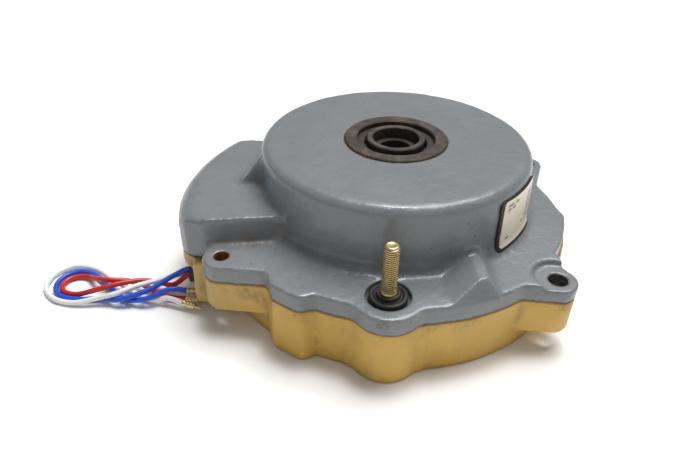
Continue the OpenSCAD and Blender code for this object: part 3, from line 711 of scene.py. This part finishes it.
# places in mm; a mark is (x, y, z, radius), a dent (x, y, z, radius, depth)
LEFT_EAR, RIGHT_EAR, REAR_RIGHT_EAR, REAR_EAR = (-90, -78), (91, -72), (92, 55), (-20, 112)
STUD = (2, -99.5)
EAR_HOLES = [(*LEFT_EAR, 4.2), (*RIGHT_EAR, 5.25), (*REAR_RIGHT_EAR, 5.25), (*REAR_EAR, 4.2)]
UPPER_MARKS = {
    "rust": [(-116.7, -30, 57, 4.5), (-112, -38, 60, 3), (-88, -22, 60.5, 5), (-81, -27, 61, 4)]
    + [(-91, -66, 45, 6), (-76, -65, 46, 7), (-62, -61, 46, 5)],
    # dark spots: the first is a mark, the other three painted shade in the two dents below; the
    # dark list paints shade inside the ear and stud holes
    "dark_marks_and_shade": [(0.5, -118.5, 40, 4), (-103, -68.6, 59.5, 2.6), (-78, 10, 78.5, 5), (-81, 15, 74, 4)],
    "dark": [(*RIGHT_EAR, 38, 13), (*REAR_RIGHT_EAR, 38, 13), (*REAR_EAR, 38, 12), (*STUD, 42, 18)],
    "bare": [(*LEFT_EAR, 38, 14), (0, 0, 70, 60)],
    "dents": [(-103, -68.6, 60, 3, 1.1), (-79.5, 12, 76, 7, 1.2)],
}
LOWER_MARKS = {
    "rust": [(-75, -87, 29, 7), (-68, -90, 27, 6), (-60, -97, 31, 5), (-113, -67, 25, 9)]
    + [(-101, -77, 18, 7), (-43, -106, 31, 4)],
    "dark_marks_and_shade": [(0.5, -118.5, 33, 1.5)],
    # painted shade inside the four ear holes
    "dark": [(*hole, 17, 40) for hole in (LEFT_EAR, RIGHT_EAR, REAR_RIGHT_EAR, REAR_EAR)],
    "bare": [(0, 0, 14, 60)],
    "dents": [],
}


def make_castings():
    """Both castings, with the holes (x, y, r, low, high) and faces that stay machined."""
    upper_holes = [(*hole, 30, 60) for hole in EAR_HOLES]
    upper_holes += [(*STUD, 11.75, 40.5, 60), (0, 0, 31, 59, 90)]
    flats = [(*RIGHT_EAR, 14, 41.5), (0, 0, 33.5, 83.5), (*STUD, 13, 40.5)]
    casting("upper_casting", "upper_housing", "grey_paint", upper_holes, flats, 0.1, UPPER_MARKS)
    lower_holes = [(*hole, -1, 40) for hole in EAR_HOLES]
    lower_holes += [(0, 0, 31, 3, 25), (0, 0, 23.5, -1, 4.5)]
    casting("lower_casting", "lower_housing", "ochre_casting", lower_holes, [], 0.16, LOWER_MARKS)


# ---- stud and its rubber ring ----

PITCH = 1.25 * MM
MAJOR_R = 4.0 * MM
THREAD_DEPTH = 0.66 * MM
THREAD_FOOT = 47.0 * MM
GROMMET_BORE_R, GROMMET_NECK_R, GROMMET_SEAT_Z = 4.52 * MM, 6.9 * MM, 40.6 * MM


def threaded_stud():
    """Stud with a real helical thread, a plain collar at its foot and a turned tip."""
    low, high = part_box("stud")
    foot, tip = THREAD_FOOT, high.z
    turns, per_pitch = 48, 14
    steps = int((tip - foot) / PITCH * per_pitch)
    body = bmesh.new()
    rings = []
    plain = [(0, low.z), (MAJOR_R + 0.5 * MM, low.z), (MAJOR_R + 0.5 * MM, foot)]
    plain += [(MAJOR_R + 0.35 * MM, foot + 0.5 * MM), (MAJOR_R + 0.3 * MM, foot + 0.9 * MM)]
    for r, z in plain:
        rings.append([(r, z)] * turns)
    for k in range(int(per_pitch * 0.9), steps + 1):
        z = foot + (tip - foot) * k / steps
        ring = []
        for j in range(turns):
            phase = (z / PITCH - j / turns) % 1.0
            ridge = min(1.0, max(0.0, 1.55 - abs(phase - 0.5) * 4.1))
            runout = min(1.0, (z - foot - 0.9 * MM) / (1.5 * MM) + 0.15)
            chamfer = max(0.0, z - (tip - 0.9 * MM))
            r = MAJOR_R - THREAD_DEPTH * (1 - ridge) * runout
            ring.append((min(r, MAJOR_R - chamfer), z))
        rings.append(ring)
    for share, drop in ((0.62, 0.0), (0.5, 0.12), (0.3, 0.2)):
        rings.append([(MAJOR_R * share, tip - drop * MM)] * turns)
    angles = [2 * math.pi * j / turns for j in range(turns)]
    made = []
    for ring in rings:
        around = [(r * math.cos(a), r * math.sin(a), z) for (r, z), a in zip(ring, angles) if r]
        made.append([body.verts.new(point) for point in around])
    made[0] = [body.verts.new((0, 0, low.z))]
    made.append([body.verts.new((0, 0, tip - 0.22 * MM))])
    join_rings(body, made, turns)
    bmesh.ops.translate(body, verts=body.verts, vec=(STUD[0] * MM, STUD[1] * MM, 0))
    mesh = to_mesh(body, "threaded_stud")
    points = read_points(mesh)
    depth = MAJOR_R - np.hypot(points[:, 0] - STUD[0] * MM, points[:, 1] - STUD[1] * MM)
    inside = (points[:, 2] > foot + 0.8 * MM) & (points[:, 2] < tip - 0.8 * MM)
    # crevice: depth into the thread, which plated() paints as shade in the valleys
    store(mesh, "crevice", np.clip(depth / THREAD_DEPTH, 0, 1) ** 0.5 * inside)
    new_piece("threaded_stud", mesh, "yellow_zinc", "stud")


def rubber_ring():
    """Rubber ring round the stud: a rolled rim, a groove and a raised collar."""
    low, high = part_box("stud_grommet")
    top = high.z
    r = (high.x - low.x) / 2
    profile = [(GROMMET_BORE_R, low.z), (GROMMET_NECK_R, low.z)]
    profile += [(GROMMET_NECK_R, GROMMET_SEAT_Z), (r - 0.4 * MM, GROMMET_SEAT_Z)]
    profile += arc((r - 1.3 * MM, 44.2 * MM), 1.3 * MM, 0, 80)
    profile += arc((r - 1.7 * MM, 44.2 * MM), 1.2 * MM, 95, 150)
    profile += arc((6.6 * MM, 45.0 * MM), 0.4 * MM, 250, 180, 4)
    profile += arc((5.6 * MM, top - 0.7 * MM), 0.6 * MM, 10, 90, 5)
    profile += [(4.9 * MM, top), (GROMMET_BORE_R, top - 0.3 * MM), (GROMMET_BORE_R, low.z)]
    mesh = lathe("rubber_ring", profile)
    mesh.transform(Matrix.Translation((STUD[0] * MM, STUD[1] * MM, 0)))
    new_piece("rubber_ring", mesh, "seal_rubber", "stud_grommet")


# ---- return springs ----

PIN_RADIUS, PIN_COUNT = 61 * MM, 3
SPRING_FOOT, SPRING_HEIGHT = 63.5 * MM, 6.5 * MM
COIL_R, WIRE_R, COILS = 5.6 * MM, 0.6 * MM, 3.6


def coil_springs():
    """The three return springs in round wire."""
    body = bmesh.new()
    steps, sides = 150, 12
    for pin in range(PIN_COUNT):
        turn = Matrix.Rotation(2 * math.pi * pin / PIN_COUNT, 4, "Z")
        place = turn @ Matrix.Translation((PIN_RADIUS, 0, 0))
        rings = []
        for k in range(steps + 1):
            a = 2 * math.pi * COILS * k / steps
            z = SPRING_FOOT + 0.8 * MM + (SPRING_HEIGHT - 1.4 * MM) * k / steps
            ring = []
            for j in range(sides):
                b = 2 * math.pi * j / sides
                r = COIL_R + WIRE_R * math.cos(b)
                point = Vector((r * math.cos(a), r * math.sin(a), z + WIRE_R * math.sin(b)))
                ring.append(body.verts.new(place @ point))
            rings.append(ring)
        for one, two in zip(rings, rings[1:]):
            for j in range(sides):
                n = (j + 1) % sides
                body.faces.new((one[j], one[n], two[n], two[j]))
        body.faces.new(rings[0])
        body.faces.new(rings[-1])
    bmesh.ops.recalc_face_normals(body, faces=body.faces)
    mesh = to_mesh(body, "coil_springs")
    springs = new_piece("coil_springs", mesh, "spring_steel", "return_springs", body="output_side")
    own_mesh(springs)


# ---- label ----

DRUM_R, DRUM_TOP, DRAFT = 81 * MM, 83.5 * MM, 0.019
BLACK_SHEET_THICK, PLATE_THICK = 1.2 * MM, 0.3 * MM


def above_wall(z):
    """Height of the black sheet's face above the drum wall; the cove pushes its foot out."""
    return np.interp(z / MM, (46.8, 48, 49.4, 51.6, 53), (3.2, 2.3, 1.65, 1.3, 1.2)) * MM


def plate_on_drum(name, start, end, low, high, lift, thick, corner, cols=72, rows=48):
    """Thin plate bent round the drum wall between two angles, with rounded corners."""
    body = bmesh.new()
    width = math.radians(end - start) * DRUM_R
    layers = []
    for depth in (lift, lift + thick):
        grid = []
        for i in range(cols + 1):
            column = []
            for j in range(rows + 1):
                x, z = width * i / cols, (high - low) * j / rows
                cx = min(max(x, corner), width - corner)
                cz = min(max(z, corner), high - low - corner)
                gap = math.hypot(x - cx, z - cz)
                pull = min(1.0, corner / gap) if gap > 0 else 1.0
                x, z = cx + (x - cx) * pull, low + cz + (z - cz) * pull
                a = math.radians(start) + x / DRUM_R
                wave = 0
                if depth:
                    wave = noise.noise(Vector((x / (9 * MM), z / (6 * MM), 3))) * 0.1 * MM
                r = DRUM_R + (DRUM_TOP - z) * DRAFT + above_wall(z) + depth - BLACK_SHEET_THICK + wave
                column.append(body.verts.new((r * math.cos(a), r * math.sin(a), z)))
            grid.append(column)
        layers.append(grid)
    back, front = layers
    for i in range(cols):
        for j in range(rows):
            body.faces.new((front[i][j], front[i + 1][j], front[i + 1][j + 1], front[i][j + 1]))
            body.faces.new((back[i][j], back[i][j + 1], back[i + 1][j + 1], back[i + 1][j]))
    rim = [(i, 0) for i in range(cols)] + [(cols, j) for j in range(rows)]
    rim += [(i, rows) for i in range(cols, 0, -1)] + [(0, j) for j in range(rows, 0, -1)]
    for (a, b), (c, d) in zip(rim, rim[1:] + rim[:1]):
        body.faces.new((back[a][b], back[c][d], front[c][d], front[a][b]))
    bmesh.ops.remove_doubles(body, verts=body.verts, dist=1e-7)
    bmesh.ops.recalc_face_normals(body, faces=body.faces)
    return to_mesh(body, name)


def make_label():
    """Black sheet on the drum wall, a little larger than the cream plate so it shows as a dark band
    round it, and the plate on it.
    """
    black_sheet = plate_on_drum("label_black_sheet", -45.3, -16.5, 46.8 * MM, 77.4 * MM, 0, BLACK_SHEET_THICK, 2.5 * MM)
    new_piece("label_black_sheet", black_sheet, "label_black", "label_backing")
    face = plate_on_drum(
        "label_plate", -43.6, -17, 48 * MM, 77 * MM, BLACK_SHEET_THICK, PLATE_THICK, 2 * MM
    )
    new_piece("label_plate", face, "label_foil", "label")


# ---- leads ----

LEAD_D = 3.2 * MM
# centre lines in mm, from the grommet to the ferrule, the same as in the CAD
ROUTES = {
    "blue": [
        (-108, -56, 16), (-118, -56, 16), (-128, -59.5, 12), (-138, -68.5, 8.9), (-148, -75, 7.2),
        (-158, -77, 4.5), (-168, -74, 2.3), (-180, -76, 1.8), (-190, -76, 1.8), (-198, -72, 1.8),
        (-202, -63.5, 1.8), (-199.5, -55, 1.8), (-191, -50.5, 1.8), (-180, -54.5, 1.8),
        (-168, -63.5, 2.3), (-158, -71, 1.9), (-148, -75, 3.6), (-138, -74.5, 6.3),
        (-128, -68, 8.5), (-118, -66, 7),
    ],
    "red": [
        (-108, -57.7, 13), (-118, -57.7, 13), (-128, -60.5, 6), (-138, -58, 4.5),
        (-148, -60.5, 7.2), (-158, -66.5, 8.9), (-168, -72, 8.5), (-177, -72.5, 5),
        (-184, -72.5, 2.5), (-189.5, -72, 1.8), (-194, -70.5, 1.8), (-197, -67.5, 1.8),
        (-198, -63.5, 1.8), (-197, -59.5, 1.8), (-194, -56.5, 1.8), (-189.5, -55, 1.8),
        (-184, -56, 2.6), (-177.5, -60.5, 5.7), (-168, -64, 8.3), (-158, -61, 6.5),
        (-148, -60.5, 3.6), (-138, -64, 1.9), (-128, -68, 2.3), (-118, -68.5, 2.7),
    ],
    "white": [
        (-108, -54.3, 13), (-118, -54.3, 13), (-128, -55, 9), (-138, -60, 7.9), (-148, -68, 9),
        (-158, -75, 7.9), (-168, -77, 5.4), (-183, -80, 2.2), (-197, -77.5, 1.8), (-207, -68, 1.8),
        (-207.5, -55, 1.8), (-198.5, -46, 1.8), (-184, -47.5, 2.2), (-168, -59, 5.4),
        (-158, -63, 2.9), (-148, -68, 1.8), (-138, -72, 2.9), (-128, -72.5, 5.4),
        (-118, -74.5, 4.6),
    ],
}


def lead_curve(colour, route):
    """One Bezier spline through the route, with the handles of a Catmull-Rom curve."""
    data = bpy.data.curves.new("lead_sheath_" + colour, "CURVE")
    data.dimensions = "3D"
    data.bevel_depth = LEAD_D / 2
    data.bevel_resolution = 5
    data.resolution_u = 10
    data.use_fill_caps = True
    spline = data.splines.new("BEZIER")
    spline.bezier_points.add(len(route) - 1)
    points = [Vector(p) * MM for p in route]
    for k, point in enumerate(spline.bezier_points):
        before, after = points[max(k - 1, 0)], points[min(k + 1, len(points) - 1)]
        handle = (after - before) / 6
        point.co = points[k]
        point.handle_left_type = point.handle_right_type = "FREE"
        point.handle_left = points[k] - handle
        point.handle_right = points[k] + handle
    return data, points


def ferrule_mesh(name, end, direction):
    """Crimp ferrule: flared collar over the sheath, crimped sleeve and a blunt pin."""
    r = LEAD_D / 2
    profile = [(0, 0), (r + 0.28 * MM, 0), (r + 0.3 * MM, 0.5 * MM)]
    for k in range(3):
        z = (1.6 + 2.0 * k) * MM
        profile += [(r + 0.28 * MM, z), (r - 0.05 * MM, z + 0.4 * MM)]
        profile += [(r - 0.05 * MM, z + 0.9 * MM), (r + 0.25 * MM, z + 1.3 * MM)]
    profile += [(r + 0.1 * MM, 7.7 * MM), (0.95 * MM, 8.1 * MM), (0.9 * MM, 11.4 * MM)]
    profile += [(0.6 * MM, 11.9 * MM), (0, 12 * MM)]
    mesh = lathe(name, profile, 40)
    turn = direction.to_track_quat("Z", "Y").to_matrix().to_4x4()
    mesh.transform(Matrix.Translation(end) @ turn)
    return mesh


def make_leads():
    """The three leads as cords, each with its ferrule."""
    for colour, route in ROUTES.items():
        data, points = lead_curve(colour, route)
        lead = new_piece("lead_sheath_" + colour, data, "pvc_" + colour, "lead_" + colour)
        direction = (points[-1] - points[-2]).normalized()
        mesh = ferrule_mesh("crimp_ferrule_" + colour, points[-1], direction)
        ferrule = new_piece("crimp_ferrule_" + colour, mesh, "yellow_zinc", "ferrule_" + colour)


# ---- finish of the CAD nodes ----


def paint_cad_nodes():
    """Every CAD node takes the material of its slot."""
    for part in frame["record"]["subparts"]:
        node = nodes[part["node"]]
        node.data.materials.clear()
        node.data.materials.append(materials[part["material_slot"]])


make_camera()
make_studio()
materials = make_materials()
make_leads()
paint_cad_nodes()
make_castings()
threaded_stud()
rubber_ring()
coil_springs()
make_label()

bpy.context.view_layer.update()
